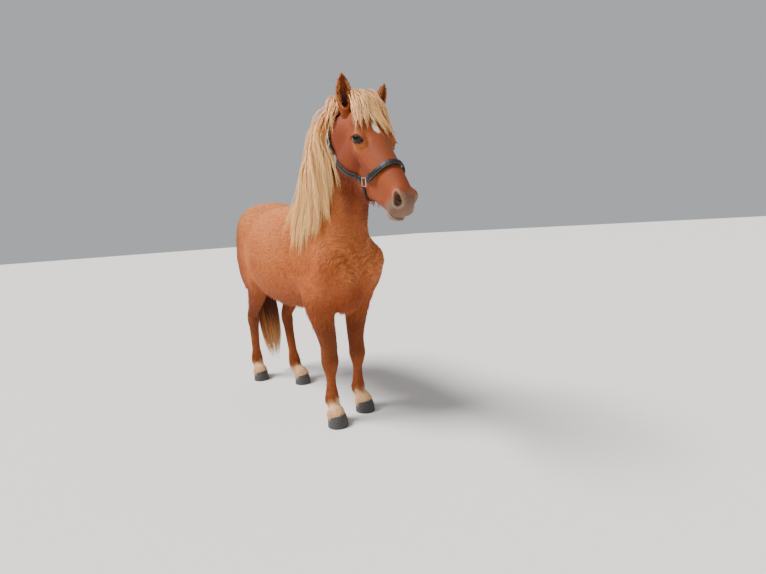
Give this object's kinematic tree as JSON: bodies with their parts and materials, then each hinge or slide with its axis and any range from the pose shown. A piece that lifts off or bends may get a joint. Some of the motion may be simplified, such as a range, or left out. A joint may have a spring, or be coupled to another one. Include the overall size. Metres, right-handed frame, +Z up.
{
  "type": "icelandic horse",
  "caption": "Life-size still model of a chestnut Icelandic horse standing in a black headcollar, flaxen mane and tail, head turned a little to its right.",
  "frame": {"origin": "on the floor, level with the four soles, under the middle of the model's bounding box", "axes": "+X forward along the trunk, +Y to the horse's left, +Z up"},
  "size_m": [2.1414, 0.6014, 1.8275],
  "materials": {
    "coat": "short chestnut hair",
    "hair": "flaxen hair",
    "horn": "dull slate-grey horn",
    "eye": "wet dark eye",
    "leather": "smooth black strap",
    "steel": "polished fittings"
  },
  "bodies": {
    "root": {"torso": "coat", "neck": "coat", "head": "coat", "ear_right": "coat", "ear_left": "coat", "eye_right": "eye", "eye_left": "eye", "tail": "hair", "right_fore_forearm": "coat", "right_fore_cannon": "coat", "right_fore_pastern": "coat", "right_fore_hoof": "horn", "left_fore_forearm": "coat", "left_fore_cannon": "coat", "left_fore_pastern": "coat", "left_fore_hoof": "horn", "right_hind_gaskin": "coat", "right_hind_cannon": "coat", "right_hind_pastern": "coat", "right_hind_hoof": "horn", "left_hind_gaskin": "coat", "left_hind_cannon": "coat", "left_hind_pastern": "coat", "left_hind_hoof": "horn", "crown_strap": "leather", "cheek_strap_right": "leather", "cheek_strap_left": "leather", "noseband": "leather", "chin_strap": "leather", "throat_strap": "leather", "cheek_ring_right": "steel", "cheek_ring_left": "steel", "nose_ring_right": "steel", "nose_ring_left": "steel", "buckle_right": "steel", "buckle_left": "steel"}
  },
  "joints": []
}
